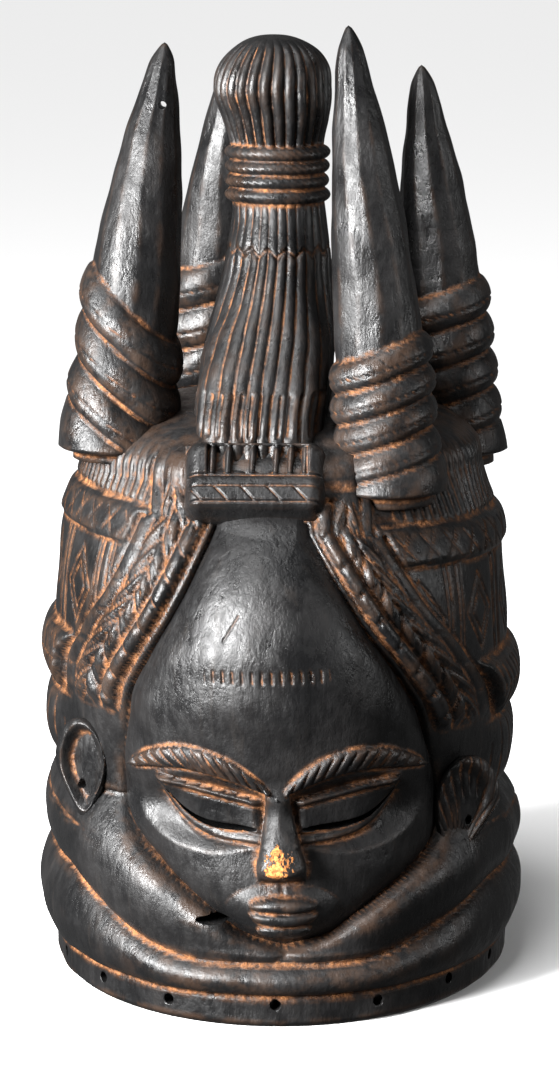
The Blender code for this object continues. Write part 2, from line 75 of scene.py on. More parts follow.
# Camera: a little above the horns and to the right of the nose, looking down on the mask.
AZIMUTH, ELEVATION = math.radians(1.5), math.radians(11)
CAMERA_FROM = 1400
LENS, SENSOR = 109.4, 36
LOOK_AT = (-0.8, 0, 178.3)
away = Vector((math.sin(AZIMUTH) * math.cos(ELEVATION), -math.cos(AZIMUTH) * math.cos(ELEVATION),
               math.sin(ELEVATION)))
target = Vector(place(LOOK_AT))
camera_data = bpy.data.cameras.new("camera")
camera_data.lens = LENS
camera_data.sensor_fit = "VERTICAL"
camera_data.sensor_height = SENSOR
camera_data.clip_end = 50
camera = bpy.data.objects.new("camera", camera_data)
camera.location = target + away * CAMERA_FROM * MM
camera.rotation_euler = (-away).to_track_quat("-Z", "Y").to_euler()
bpy.context.scene.collection.objects.link(camera)
bpy.context.scene.camera = camera

# Studio: a pale floor under a soft light from above, with a strong soft light on the left and a weak one
# on the right. The floor sends no light back to the wood, which stays black in its shadows.
FLOOR_LEFT, FLOOR_NEAR, FLOOR_RIGHT, FLOOR_FAR = -60, -8, 60, 90
ABOVE = (-0.3, -0.35, 1)
ABOVE_SPREAD = math.radians(30)


def soft_light(name, at, size, power, aim):
    """A square area light of this size, in metres, turned to face the aim."""
    data = bpy.data.lights.new(name, "AREA")
    data.shape = "SQUARE"
    data.size = size
    data.energy = power
    light = bpy.data.objects.new(name, data)
    light.location = at
    light.rotation_euler = (Vector(aim) - Vector(at)).to_track_quat("-Z", "Y").to_euler()
    bpy.context.scene.collection.objects.link(light)


floor_mesh = bpy.data.meshes.new("floor")
floor_corners = [(FLOOR_LEFT, FLOOR_NEAR, 0), (FLOOR_RIGHT, FLOOR_NEAR, 0),
                 (FLOOR_RIGHT, FLOOR_FAR, 0), (FLOOR_LEFT, FLOOR_FAR, 0)]
floor_mesh.from_pydata(floor_corners, [], [(0, 1, 2, 3)])
floor = bpy.data.objects.new("floor", floor_mesh)
bpy.context.scene.collection.objects.link(floor)
floor.visible_glossy = False
floor.visible_diffuse = False
pale = bpy.data.materials.new("pale_floor")
pale.use_nodes = True
pale.node_tree.nodes["Principled BSDF"].inputs["Base Color"].default_value = (0.9, 0.9, 0.9, 1)
pale.node_tree.nodes["Principled BSDF"].inputs["Roughness"].default_value = 0.9
floor_mesh.materials.append(pale)
world = bpy.data.worlds.new("room")
world.use_nodes = True
world.node_tree.nodes["Background"].inputs["Color"].default_value = (1, 1, 1, 1)
world.node_tree.nodes["Background"].inputs["Strength"].default_value = 0.12
bpy.context.scene.world = world
bpy.context.scene.view_settings.view_transform = "Standard"
above_data = bpy.data.lights.new("above", "SUN")
above_data.energy = 3
above_data.angle = ABOVE_SPREAD
above = bpy.data.objects.new("above", above_data)
above.rotation_euler = Vector(ABOVE).to_track_quat("Z", "Y").to_euler()
bpy.context.scene.collection.objects.link(above)
soft_light("left", (-1.15, -1.0, 0.62), 0.6, 190, (0, 0, 0.2))
soft_light("right", (1.5, -0.4, 0.6), 0.5, 8, (0, 0, 0.25))


# Blackened wood: stained and oiled, half glossy on the worked surfaces. Ochre dust lies where each
# piece's "dust" attribute is high, in grooves and hollows, and brown wood shows at rubbed edges.
BLACK, FADED_BLACK, STREAK = (0.004, 0.004, 0.0042), (0.010, 0.0095, 0.0095), (0.02, 0.017, 0.015)
RUBBED_BROWN = (0.05, 0.028, 0.017)
DUST_DARK, DUST_LIGHT = (0.11, 0.04, 0.012), (0.3, 0.125, 0.045)
BARE_DARK, BARE_LIGHT = (0.2, 0.07, 0.018), (0.5, 0.2, 0.055)


def blackened_wood(name, worn_at=None, worn_size=1.0):
    """Black wood mixed with brown by wear, and with ochre by dust times a broken noise, with fine bumps.

    Round worn_at, out to about worn_size, both in metres, it is rubbed down to bare wood.
    """
    material = bpy.data.materials.new(name)
    material.use_nodes = True
    nodes, links = material.node_tree.nodes, material.node_tree.links
    shader = nodes["Principled BSDF"]

    def noise(scale, detail, stretch=(1, 1, 1), rough=0.6):
        mapping = nodes.new("ShaderNodeMapping")
        mapping.inputs["Scale"].default_value = stretch
        links.new(coords.outputs["Object"], mapping.inputs["Vector"])
        texture = nodes.new("ShaderNodeTexNoise")
        texture.inputs["Scale"].default_value = scale
        texture.inputs["Detail"].default_value = detail
        texture.inputs["Roughness"].default_value = rough
        links.new(mapping.outputs["Vector"], texture.inputs["Vector"])
        return texture.outputs["Fac"]

    def ramp(value, low, high, out_low=0.0, out_high=1.0):
        node = nodes.new("ShaderNodeMapRange")
        node.interpolation_type = "SMOOTHSTEP"
        for key, number in (("From Min", low), ("From Max", high), ("To Min", out_low), ("To Max", out_high)):
            node.inputs[key].default_value = number
        links.new(value, node.inputs["Value"])
        return node.outputs["Result"]

    def maths(operation, a, b):
        node = nodes.new("ShaderNodeMath")
        node.operation = operation
        for socket, value in zip(node.inputs, (a, b)):
            if isinstance(value, (int, float)):
                socket.default_value = value
            else:
                links.new(value, socket)
        return node.outputs[0]

    def mix(factor, a, b):
        node = nodes.new("ShaderNodeMix")
        node.data_type = "RGBA"
        links.new(factor, node.inputs["Factor"])
        for socket, value in ((node.inputs["A"], a), (node.inputs["B"], b)):
            if isinstance(value, tuple):
                socket.default_value = (*value, 1)
            else:
                links.new(value, socket)
        return node.outputs["Result"]

    def attribute(key):
        node = nodes.new("ShaderNodeAttribute")
        node.attribute_name = key
        return node.outputs["Fac"]

    coords = nodes.new("ShaderNodeTexCoord")
    patches = noise(28, 6)
    streaks = noise(150, 5, (1, 1, 0.12))
    speckle = noise(600, 4)
    colour = mix(ramp(patches, 0.35, 0.7), BLACK, FADED_BLACK)
    colour = mix(ramp(streaks, 0.55, 0.75, 0, 0.4), colour, STREAK)
    wear = maths("MULTIPLY", attribute("wear"), ramp(noise(90, 5), 0.4, 0.62))
    colour = mix(maths("MULTIPLY", wear, 0.4), colour, RUBBED_BROWN)
    broken = ramp(noise(110, 7, rough=0.7), 0.38, 0.66, 0.05, 1)
    dust = maths("MULTIPLY", attribute("dust"), broken)
    ochre = mix(ramp(speckle, 0.35, 0.65), DUST_DARK, DUST_LIGHT)
    colour = mix(dust, colour, ochre)
    mottle = noise(230, 6, (1, 1, 0.5), 0.7)
    roughness = maths("ADD", ramp(patches, 0.3, 0.7, 0.18, 0.34), ramp(mottle, 0.35, 0.65, 0, 0.22))
    if worn_at is not None:
        spot = nodes.new("ShaderNodeMapping")
        spot.inputs["Location"].default_value = [-a / s for a, s in zip(worn_at, worn_size)]
        spot.inputs["Scale"].default_value = [1 / s for s in worn_size]
        links.new(coords.outputs["Object"], spot.inputs["Vector"])
        length = nodes.new("ShaderNodeVectorMath")
        length.operation = "LENGTH"
        links.new(spot.outputs["Vector"], length.inputs[0])
        broken_edge = ramp(noise(330, 6, (1, 1, 0.6), 0.75), 0.35, 0.65, -0.75, 0.75)
        ragged = maths("ADD", length.outputs["Value"], broken_edge)
        bare = ramp(ragged, 1.0, 0.75)
        colour = mix(bare, colour, mix(ramp(speckle, 0.4, 0.6), BARE_DARK, BARE_LIGHT))
        dust = maths("MAXIMUM", dust, bare)
    links.new(colour, shader.inputs["Base Color"])
    links.new(maths("ADD", roughness, maths("MULTIPLY", dust, 0.5)), shader.inputs["Roughness"])
    shader.inputs["Specular IOR Level"].default_value = 0.26
    grain = maths("ADD", maths("MULTIPLY", streaks, 0.5), maths("MULTIPLY", patches, 1.4))
    grain = maths("ADD", grain, maths("MULTIPLY", mottle, 0.55))
    grain = maths("ADD", grain, maths("MULTIPLY", speckle, maths("ADD", 0.15, dust)))
    bump = nodes.new("ShaderNodeBump")
    bump.inputs["Strength"].default_value = 0.75
    bump.inputs["Distance"].default_value = 0.0012
    links.new(grain, bump.inputs["Height"])
    links.new(bump.outputs["Normal"], shader.inputs["Normal"])
    return material


wood = blackened_wood("blackened_wood")


# The head: one hollow block, carved outside in rings, bands and plaits. It is made in two closed shells,
# the ringed neck and the hair over it, which meet in the deep groove over the upper ring.
def curve_through(knots, where):
    """Smooth curve through (place, value) knots: cubic pieces, with slopes from the neighbouring knots."""
    at, value = np.array(knots, float).T
    slope = np.gradient(value, at)
    where = np.clip(where, at[0], at[-1])
    i = np.clip(np.searchsorted(at, where) - 1, 0, len(at) - 2)
    step = at[i + 1] - at[i]
    t = (where - at[i]) / step
    start = (1 + 2 * t) * (1 - t) ** 2 * value[i] + t * (1 - t) ** 2 * step * slope[i]
    return start + t * t * (3 - 2 * t) * value[i + 1] + t * t * (t - 1) * step * slope[i + 1]


def ease(low, high, x):
    """0 below low, 1 above high, and a smooth step between them."""
    t = np.clip((x - low) / (high - low), 0, 1)
    return t * t * (3 - 2 * t)


def hump(x, middle, half):
    """Round ridge of height 1 and the given half width, as the section of a cord is."""
    return np.sqrt(np.clip(1 - ((x - middle) / half) ** 2, 0, 1))


def line(x, half):
    """A cut of depth 1 along x = 0 with soft edges, gone at the half width."""
    return np.clip(1 - np.abs(x) / half, 0, 1) ** 0.8


def every(x, pitch):
    """Signed distance from x to the nearest whole number of pitches."""
    return (x / pitch - np.round(x / pitch)) * pitch


def wander(points, size, height, count=14):
    """Slow hand-made unevenness: a sum of sines in random directions, about this size apart."""
    total = np.zeros(points.shape[:-1])
    for _ in range(count):
        direction = chance.normal(size=3)
        direction *= 2 * math.pi / size * chance.uniform(0.5, 1.5) / np.linalg.norm(direction)
        total += np.sin(points @ direction + chance.uniform(0, 2 * math.pi))
    return height * total / math.sqrt(count / 2)


HEAD_HALF_WIDTH = [(0, 97), (45, 98), (84, 94), (110, 96), (165, 95), (190, 92), (205, 87), (216, 84)]
HEAD_FRONT = [(0, 116), (45, 115), (90, 110), (131, 114), (165, 113), (190, 103), (205, 92), (216, 84)]
HEAD_BACK = [(0, 114), (45, 108), (84, 101), (131, 105), (165, 107), (190, 103), (216, 92)]
SHOULDER, CROWN = 216, 242
WALL = 14
HOLLOW_TURN, HOLLOW_TOP = 120, 202
RIM_BAND, RING_TOP = 14, 82
FACE_MIDDLE = [(33, 4.5), (88, 2), (118, 0), (147, -1.5), (204, -6)]
FACE_HALF_WIDTH = [(32, 0), (36, 14), (45, 29), (60, 51), (68, 61), (78, 67), (90, 68), (118, 63.5),
                   (129, 61), (147, 51.5), (165, 40), (184, 29), (200, 20)]
FACE_LOW, FACE_TOP = 32, 204
FACE_ROUND_WIDTH = [(32, 86), (60, 90), (118, 90), (146, 86), (165, 80), (184, 73), (210, 60)]
FACE_FRONT = [(32, 112), (40, 116), (50, 118), (75, 116), (92, 115), (106, 121), (120, 125), (146, 127),
              (165, 123), (184, 114), (200, 101), (210, 91)]
LEAN = 6  # the carving stands this much lower at the right side of the head, and higher at the left
CUT_BACK = 9  # how far the block is cut back under the face
NAPE_ROLL, LOW_BAND, PANEL_MIDDLE, HIGH_BAND = 101, 131, 165.5, 195
PANEL_HALF, LOZENGES, FRINGE_LOCKS = 18.5, 16, 116


def plain_head(angle, z):
    """Radius of the uncarved head: half ellipses in plan, one for the front and one for the back."""
    half_deep = np.where(np.cos(angle) < 0, curve_through(HEAD_BACK, z), curve_through(HEAD_FRONT, z))
    return 1 / np.hypot(np.sin(angle) / curve_through(HEAD_HALF_WIDTH, z), np.cos(angle) / half_deep)


def face_outline(x, z):
    """Distance outside the face's drop-shaped outline, negative on the face."""
    half = curve_through(FACE_HALF_WIDTH, z)
    slope = curve_through(FACE_HALF_WIDTH, z + 0.5) - curve_through(FACE_HALF_WIDTH, z - 0.5)
    sideways = (np.abs(x - curve_through(FACE_MIDDLE, z)) - half) / np.hypot(1, slope)
    return np.maximum(np.maximum(sideways, z - FACE_TOP), FACE_LOW - z)


def face_round(angle, z):
    """Radius of the face before its features: an ellipse in plan."""
    return 1 / np.hypot(np.sin(angle) / curve_through(FACE_ROUND_WIDTH, z),
                        np.cos(angle) / curve_through(FACE_FRONT, z))


def neck_rings(angle, z):
    """Two round rings over the plain head: half sine waves in height, the groove between them sloping."""
    groove = 27 + 21 * ease(math.radians(14), math.radians(62), np.abs(angle))
    lower = np.clip((z - RIM_BAND) / (groove - RIM_BAND), 0, 1)
    upper = np.clip((z - groove) / (RING_TOP - groove), 0, 1)
    rings = 6 * np.sin(math.pi * lower) ** 0.7 + 6.5 * np.sin(math.pi * upper) ** 0.75
    scores = line(z - RIM_BAND + 0.4, 1.1) + line(z - groove, 1.3)
    crease = line(z - groove - (RING_TOP - groove) * 0.68 - 3 * np.sin(2 * angle), 1.6)
    crease = crease * ease(math.radians(38), math.radians(60), np.abs(angle))
    return rings - 0.9 * scores - 0.8 * crease


def plaits(z, outside):
    """Cords along the hairline: a notched one, a herringbone one beside it, and a smooth strip."""
    along = z * 1.17 + outside * 0.2
    inner = 4.5 * hump(outside, 5.2, 2.9) * (1 - 0.42 * line(every(along - 1.4 * (outside - 5.2), 12.4), 1.5))
    from_middle = outside - 13.6
    leaf = every(along + 2.4 * np.abs(from_middle), 13.5)
    below_case = ease(215.5, 208, z)
    outer = hump(outside, 13.6, 5.6) * (3.6 + below_case * (-0.12 * leaf - 2.4 * line(leaf, 1.6)))
    outer = outer - 1.3 * below_case * line(from_middle, 0.9)
    strip = 1.8 * hump(outside, 21.6, 2.6)
    teeth = 0.5 * line(every(along, 16), 1.0) * hump(outside, 21.6, 2.6)
    rails = line(outside - 1.4, 1.2) + line(outside - 8.4, 0.9) + line(outside - 24.6, 0.9)
    return (inner + np.maximum(outer, 0) + strip - teeth - 1.1 * rails) * ease(118, 126, z)


def panels(angle, z):
    """Incised lozenges between upright lines, with a smaller lozenge inside each."""
    pitch = 2 * math.pi / LOZENGES
    column = every(angle + pitch / 2, pitch) / pitch * 2
    rise = (z - PANEL_MIDDLE) / PANEL_HALF
    ring = np.abs(column) * 1.5 + np.abs(rise)
    cuts = line((ring - 0.86) * 15, 1.1) + line((ring - 0.5) * 15, 0.9)
    posts = line((np.abs(column) - 0.86) * 19, 0.9) + 0.8 * line((np.abs(column) - 0.74) * 19, 0.7)
    return -1.3 * np.clip(cuts + posts, 0, 1) * (np.abs(rise) < 1.15)


def bands(angle, z, outside):
    """Raised bands round the hair: a beaded low one, a marked high one, the nape roll and the fringe."""
    clear = ease(24.8, 26.4, outside)
    arc = angle * 96
    low_rise, high_rise = z - LOW_BAND, z - HIGH_BAND
    low = 6 * hump(z, LOW_BAND, 13)
    beads = 1.1 * line(every(arc + 0.8 * np.abs(low_rise), 6.4), 1.1) * (np.abs(low_rise) < 10)
    low = low - (beads + 0.9 * line(low_rise, 0.9)) * (low > 2)
    nape = 5 * hump(z, NAPE_ROLL, 15) * ease(math.radians(52), math.radians(75), np.abs(angle))
    nape = nape - 0.6 * line(every(arc, 9.5), 0.8) * (nape > 2)
    high = 2.6 * np.sqrt(np.clip(1 - (high_rise / 7.6) ** 4, 0, 1))
    cross = np.abs(np.abs(every(arc, 13)) - np.abs(high_rise) * 0.8)
    star = line(cross, 0.9) * (np.abs(high_rise) < 5.2)
    edges = line(high_rise - 6.6, 0.8) + line(high_rise + 6.4, 0.8)
    high = high - 0.9 * star * (high > 1) - 0.8 * edges
    beside_case = ease(math.radians(30), math.radians(36), np.abs(angle))
    flute = np.abs(np.sin(FRINGE_LOCKS * angle / 2)) * beside_case
    fringe = (1.9 * flute**0.7 - 0.7) * ease(203.5, 205.5, z) * ease(233, 224, z)
    return (low + high + panels(angle, z) + fringe) * clear + nape


def neck_surface(angle, z):
    """Radius outside: plain head and rings, cut back under the face and grooved beside the jaw."""
    plain = plain_head(angle, z)
    x = plain * np.sin(angle)
    drawn_z = z + LEAN * np.sin(angle) * ease(RIM_BAND, RING_TOP, z)
    outside = np.where(np.cos(angle) > 0, face_outline(x, drawn_z), 200)
    jaw = 4.5 * np.exp(-np.clip(outside, 0, None) / 3.2) * ease(RIM_BAND + 8, RIM_BAND + 14, drawn_z)
    rest = plain + neck_rings(angle, drawn_z) - jaw
    return cut_under_face(rest, angle, z, outside), drawn_z


def cut_under_face(rest, angle, z, outside):
    """The block steps back by a fixed depth inside the face's outline."""
    behind = np.minimum(face_round(angle, z) - CUT_BACK, rest - 2)
    inside = ease(0.2, -2.2, outside)
    return behind * inside + rest * (1 - inside)


def hair_surface(angle, z):
    """Radius outside: plain head with bands and plaits, cut back under the face."""
    plain = plain_head(angle, z)
    x = plain * np.sin(angle)
    drawn_z = z + LEAN * np.sin(angle)
    outside = np.where(np.cos(angle) > 0, face_outline(x, drawn_z), 200)
    relief = plaits(drawn_z, outside) + bands(angle, drawn_z, outside)
    relief = relief * ease(RING_TOP, RING_TOP + 4, drawn_z)
    jaw = 4.0 * np.exp(-np.clip(outside, 0, None) / 3.5) * ease(132, 104, drawn_z)
    return cut_under_face(plain + relief - jaw, angle, z, outside)


def hollow_radius(angle, z):
    """Inside surface: the plain head less the wall, closing over the head in a dome."""
    rise = np.clip((z - HOLLOW_TURN) / (HOLLOW_TOP - HOLLOW_TURN), 0, 1)
    return (plain_head(angle, z) - WALL) * np.sqrt(np.clip(1 - rise**2, 0, 1)) ** 0.8


def smoothed(grid, passes):
    """Repeated three-point averages along both ways of a grid, which closes on itself sideways."""
    for _ in range(passes):
        grid = (np.roll(grid, 1, 1) + grid + np.roll(grid, -1, 1)) / 3
        padded = np.concatenate([grid[:1], grid, grid[-1:]])
        grid = (padded[:-2] + padded[1:-1] + padded[2:]) / 3
    return grid


NEAR_PASSES, WIDE_PASSES = 4, 30


def dust_and_wear(grid, down):
    """How far each point lies below, or above, the average of its neighbours, near and wide.

    Both are measured along the surface's normal in drawn millimetres, and both end between 0 and 1.
    """
    across = (np.roll(grid, -1, 1) - np.roll(grid, 1, 1)) / 2
    normal = np.cross(down, across)
    normal /= np.linalg.norm(normal, axis=2, keepdims=True) + 1e-9
    near = ((grid - smoothed(grid, NEAR_PASSES)) * normal).sum(2)
    wide = ((grid - smoothed(grid, WIDE_PASSES)) * normal).sum(2)
    dust = np.clip(-near / 0.3 - 0.3, 0, 1) * 0.7 + np.clip(-wide / 1.3 - 0.3, 0, 1) * 0.6
    wear = np.clip(near / 0.2 - 0.35, 0, 1)
    return np.clip(dust, 0, 1), wear


def closed_piece(name, points, faces, marks, material, cutters):
    """One mesh from points and arrays of faces, drilled by the cutters, put on the root body, with the
    frame's carved_mask part hidden.
    """
    corners = np.concatenate([part.ravel() for part in faces])
    sides = np.concatenate([np.full(len(part), part.shape[1]) for part in faces])
    mesh = bpy.data.meshes.new(name)
    mesh.vertices.add(len(points))
    mesh.vertices.foreach_set("co", place(points).astype(np.float32).ravel())
    mesh.loops.add(len(corners))
    mesh.loops.foreach_set("vertex_index", corners.astype(np.int32))
    mesh.polygons.add(len(sides))
    mesh.polygons.foreach_set("loop_start", (np.cumsum(sides) - sides).astype(np.int32))
    mesh.update(calc_edges=True)
    mesh.validate()
    for key, value in zip(("dust", "wear"), marks):
        mesh.attributes.new(key, "FLOAT", "POINT").data.foreach_set("value", value.astype(np.float32))
    mesh.polygons.foreach_set("use_smooth", np.ones(len(mesh.polygons), bool))
    mesh.materials.append(material)
    piece = bpy.data.objects.new(name, mesh)
    bpy.context.scene.collection.objects.link(piece)
    for tool in cutters:
        cut = piece.modifiers.new("cut", "BOOLEAN")
        cut.operation = "DIFFERENCE"
        cut.solver = "MANIFOLD"
        cut.object = tool
    if cutters:
        bpy.context.view_layer.update()
        evaluated = piece.evaluated_get(bpy.context.evaluated_depsgraph_get())
        whole = bpy.data.meshes.new_from_object(evaluated)
        piece.modifiers.clear()
        piece.data = whole
    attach(piece, "root")
    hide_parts(NODE)
    return piece


def carve(name, grid, material=wood, cutters=()):
    """A closed piece from a grid of drawn points: rows run from top to foot, columns once round.

    The first and last rows are single points.
    """
    rows, columns = grid.shape[:2]
    marks = dust_and_wear(grid, np.gradient(grid, axis=0))
    points = np.concatenate([grid[:1, 0], grid[1:-1].reshape(-1, 3), grid[-1:, 0]])
    marks = [np.concatenate([v[:1, 0], v[1:-1].ravel(), v[-1:, 0]]) for v in marks]
    index = 1 + np.arange((rows - 2) * columns).reshape(rows - 2, columns)
    right = np.roll(index, -1, 1)
    quads = np.stack([index[:-1], index[1:], right[1:], right[:-1]], 2).reshape(-1, 4)
    top = np.stack([np.zeros(columns, int), index[0], right[0]], 1)
    foot = np.stack([index[-1], np.full(columns, len(points) - 1), right[-1]], 1)
    return closed_piece(name, points, (quads, top, foot), marks, material, cutters)


def carve_ring(name, grid, cutters=()):
    """A closed ring from a grid of drawn points: its last row joins its first, so it closes both ways."""
    rows, columns = grid.shape[:2]
    marks = dust_and_wear(grid, (np.roll(grid, -1, 0) - np.roll(grid, 1, 0)) / 2)
    index = np.arange(rows * columns).reshape(rows, columns)
    below = np.roll(index, -1, 0)
    quads = np.stack([index, below, np.roll(below, -1, 1), np.roll(index, -1, 1)], 2).reshape(-1, 4)
    return closed_piece(name, grid.reshape(-1, 3), (quads,), [v.ravel() for v in marks], wood, cutters)


def around(radius, turn, z):
    """Points from radius, angle and height."""
    return np.stack([radius * np.sin(turn), -radius * np.cos(turn), z], 2)


def push_out(grid, turn, distance):
    """Moves points level and outwards, in place."""
    grid[..., 0] += distance * np.sin(turn)
    grid[..., 1] -= distance * np.cos(turn)


def close_ends(grid):
    """Adds a row at each end, all at the middle of the row that it closes."""
    top, foot = grid[:1].mean(1, keepdims=True), grid[-1:].mean(1, keepdims=True)
    return np.concatenate([np.repeat(top, grid.shape[1], 1), grid, np.repeat(foot, grid.shape[1], 1)])


def round_angles(front, back, front_reach):
    """Angles once round the head, closer together within front_reach of the face than behind."""
    near = np.linspace(-front_reach, front_reach, front, endpoint=False)
    far = np.linspace(front_reach, 2 * math.pi - front_reach, back, endpoint=False)
    return np.concatenate([near, far])


def bar(start, end, radius, sides=14, bend=None):
    """A closed round bar between two drawn points, for drilling. A bend reshapes its drawn points."""
    start, end = np.array(start, float), np.array(end, float)
    run = (end - start) / np.linalg.norm(end - start)
    side = np.cross(run, (0, 0, 1) if abs(run[2]) < 0.9 else (1, 0, 0))
    side /= np.linalg.norm(side)
    lift = np.cross(run, side)
    turn = np.linspace(0, 2 * math.pi, sides, endpoint=False)
    ring = radius * (np.cos(turn)[:, None] * side + np.sin(turn)[:, None] * lift)
    points = np.concatenate([ring + start, ring + end])
    if bend is not None:
        points = bend(points)
    faces = [(i, (i + 1) % sides, sides + (i + 1) % sides, sides + i) for i in range(sides)]
    faces += [tuple(range(sides - 1, -1, -1)), tuple(range(sides, 2 * sides))]
    return place(points), faces


def cutter(name, bars):
    """One mesh of several bars, used to drill and cut, and removed at the end."""
    points, faces = [], []
    for bar_points, bar_faces in bars:
        faces += [tuple(i + len(points) for i in face) for face in bar_faces]
        points += bar_points.tolist()
    mesh = bpy.data.meshes.new(name)
    mesh.from_pydata(points, [], faces)
    mesh.update()
    obj = bpy.data.objects.new(name, mesh)
    bpy.context.scene.collection.objects.link(obj)
    return obj


RIM_HOLES = 17
RIM_HOLE_HEIGHT = 9.5
rim_bars = []
for number in range(RIM_HOLES):
    turn = 2 * math.pi * number / RIM_HOLES + chance.uniform(-0.02, 0.02)
    plain = float(plain_head(np.array(turn), np.array(RIM_HOLE_HEIGHT)))
    outwards = np.array([math.sin(turn), -math.cos(turn), 0])
    height = np.array([0, 0, RIM_HOLE_HEIGHT + chance.uniform(-0.8, 0.8)])
    inner_end, outer_end = outwards * (plain - WALL - 15) + height, outwards * (plain + 12) + height
    rim_bars.append(bar(inner_end, outer_end, 2.3))
rim_drill = cutter("rim_drill", rim_bars)
EYE_MIDDLE, EYE_REACH = 27.5, 18.5
SLIT_LOW, SLIT_RISE = 83.2, 13.5


def slit_height(reach):
    """Height of the slit, flat near the nose and rising steeply to its outer corner; reach is 1 outside."""
    return SLIT_LOW + SLIT_RISE * ((1 + reach) / 2) ** 4


def eye_bars():
    """The two eye slits: flat bars through the face, each bent to the slit's height along its width."""
    bars = []
    for side in (-1, 1):
        def bend(points, side=side):
            reach = points[:, 0] / 10
            thick = 1.25 + 0.3 * (1 - reach)
            middle = curve_through(FACE_MIDDLE, np.array(SLIT_LOW))
            x = middle + side * (EYE_MIDDLE + EYE_REACH * reach)
            return np.stack([x, points[:, 1], slit_height(reach) + thick * points[:, 2] / 10], 1)
        points, faces = bar((0, -150, 0), (0, -60, 0), 10, 40, bend)
        bars.append((points, faces if side > 0 else [face[::-1] for face in faces]))
    return bars


eye_cut = cutter("eye_cut", eye_bars())
JAW_X, JAW_Z = -24, 45


def jaw_bend(points):
    """The break beside the jaw: a flat slanting gap, much wider than tall."""
    aside, up = points[:, 0] - JAW_X, points[:, 2] - JAW_Z
    return np.stack([JAW_X + 7.5 * aside, points[:, 1], JAW_Z + 1.7 * up - 0.25 * aside], 1)


jaw_cut = cutter("jaw_cut", [bar((JAW_X, -150, JAW_Z), (JAW_X, -60, JAW_Z), 1, 18, jaw_bend)])

FRONT_REACH = math.radians(105)
NECK_TOP, NECK_FOOT, NECK_INSIDE_TOP = 88, 0.6, 78
OUTSIDE_ROWS, RIM_ROWS, INSIDE_ROWS = 92, 5, 18
neck_z = np.concatenate([np.linspace(NECK_TOP, NECK_FOOT, OUTSIDE_ROWS), np.full(RIM_ROWS, NECK_FOOT),
                         np.linspace(NECK_FOOT, NECK_INSIDE_TOP, INSIDE_ROWS)])
turn, z = np.meshgrid(round_angles(430, 150, FRONT_REACH), neck_z)
outer, drawn_z = neck_surface(turn, z)
outer = outer - 2.5 * ease(3, NECK_FOOT, z) - 9 * ease(83, 87, drawn_z)
inner = hollow_radius(turn, z)
inwards = [np.zeros(OUTSIDE_ROWS), np.linspace(0.15, 0.85, RIM_ROWS), np.ones(INSIDE_ROWS)]
inwards = np.concatenate(inwards)[:, None]
grid = around(outer * (1 - inwards) + inner * inwards, turn, z)
carved = slice(0, OUTSIDE_ROWS)
waves = wander(grid[carved], 34, 0.35) * ease(NECK_FOOT, 4, z[carved])
push_out(grid[carved], turn[carved], waves)
carve_ring("neck_rings", grid, cutters=(rim_drill, eye_cut, jaw_cut))

HAIR_FOOT = 79
CROWN_ROWS, SIDE_ROWS, INNER_ROWS = 26, 128, 22
crown = np.linspace(0, 1, CROWN_ROWS) * math.pi / 2
power = 2 / 2.6
crown_z = SHOULDER + (CROWN - SHOULDER) * np.cos(crown) ** power
side_z = np.linspace(SHOULDER, HAIR_FOOT, SIDE_ROWS + 1)[1:]
inner_turn = np.linspace(math.pi / 2, 0, INNER_ROWS)
inner_z = np.concatenate([np.linspace(HAIR_FOOT, HOLLOW_TURN, 10),
                          HOLLOW_TURN + (HOLLOW_TOP - HOLLOW_TURN) * np.cos(inner_turn[1:])])
hair_angles = round_angles(410, 130, FRONT_REACH)
turn, z = np.meshgrid(hair_angles, np.concatenate([crown_z, side_z]))
shrink = np.concatenate([np.sin(crown) ** power, np.ones(SIDE_ROWS)])[:, None]
clipped = np.minimum(z, SHOULDER)
smooth = plain_head(turn, clipped)
radius = (smooth + (hair_surface(turn, clipped) - smooth) * ease(230, 222, z)) * shrink
radius = radius - 10 * ease(84, 80, z + LEAN * np.sin(turn))
outer = around(radius, turn, z)
push_out(outer, turn, wander(outer, 30, 0.3))
turn, z = np.meshgrid(hair_angles, inner_z)
radius = hollow_radius(turn, z)
radius[-1] = 0
carve("hair", np.concatenate([outer, around(radius, turn, z)]), cutters=(eye_cut,))

# The face: a drop-shaped shield, domed at the forehead, standing in a groove. Brows, lidded slit eyes,
# nose and stacked lips are carved on it, and it is rubbed to bare wood at the tip of the nose.
BROW_MIDDLE, BROW_REACH = 32, 29
FACE_ROWS, FACE_COLUMNS, BACK_COLUMNS = 268, 336, 18
FACE_THICK = 12
# Upper lip, lower lip and chin: height, half height, half width, how far proud, and 1 where its ends turn up.
LIPS = ((54.4, 3.2, 13.5, 4.0, -1), (48.0, 3.0, 13.5, 3.8, 1), (41.6, 3.6, 11, 3.6, 1))
MARK_ROW, MARK_PITCH = 147.5, 3.9
NOSE_TIP = (2, -131, 71)
BARE_HALF = (0.0042, 0.012, 0.0072)  # half size of the bare spot, in metres


def brows(side, z):
    """Crescents: arched middle line, thickest in the middle, with slanting notches."""
    reach = (side - BROW_MIDDLE) / BROW_REACH
    middle = 101.5 + 10.5 * (1 - reach**2) + 2.4 * reach
    half = 4.9 * np.sqrt(np.clip(1 - reach**2, 0, 1)) + 0.01
    body = hump(z, middle, half) ** 0.8
    notches = line(every(side - 0.75 * (z - middle) - 2, 4.6), 0.9) * (np.abs(z - middle) < half - 0.8)
    under = line(z - middle + half + 0.6, 1.0) * (np.abs(reach) < 1)
    return 3.2 * body - 1.5 * notches * body - 0.7 * under


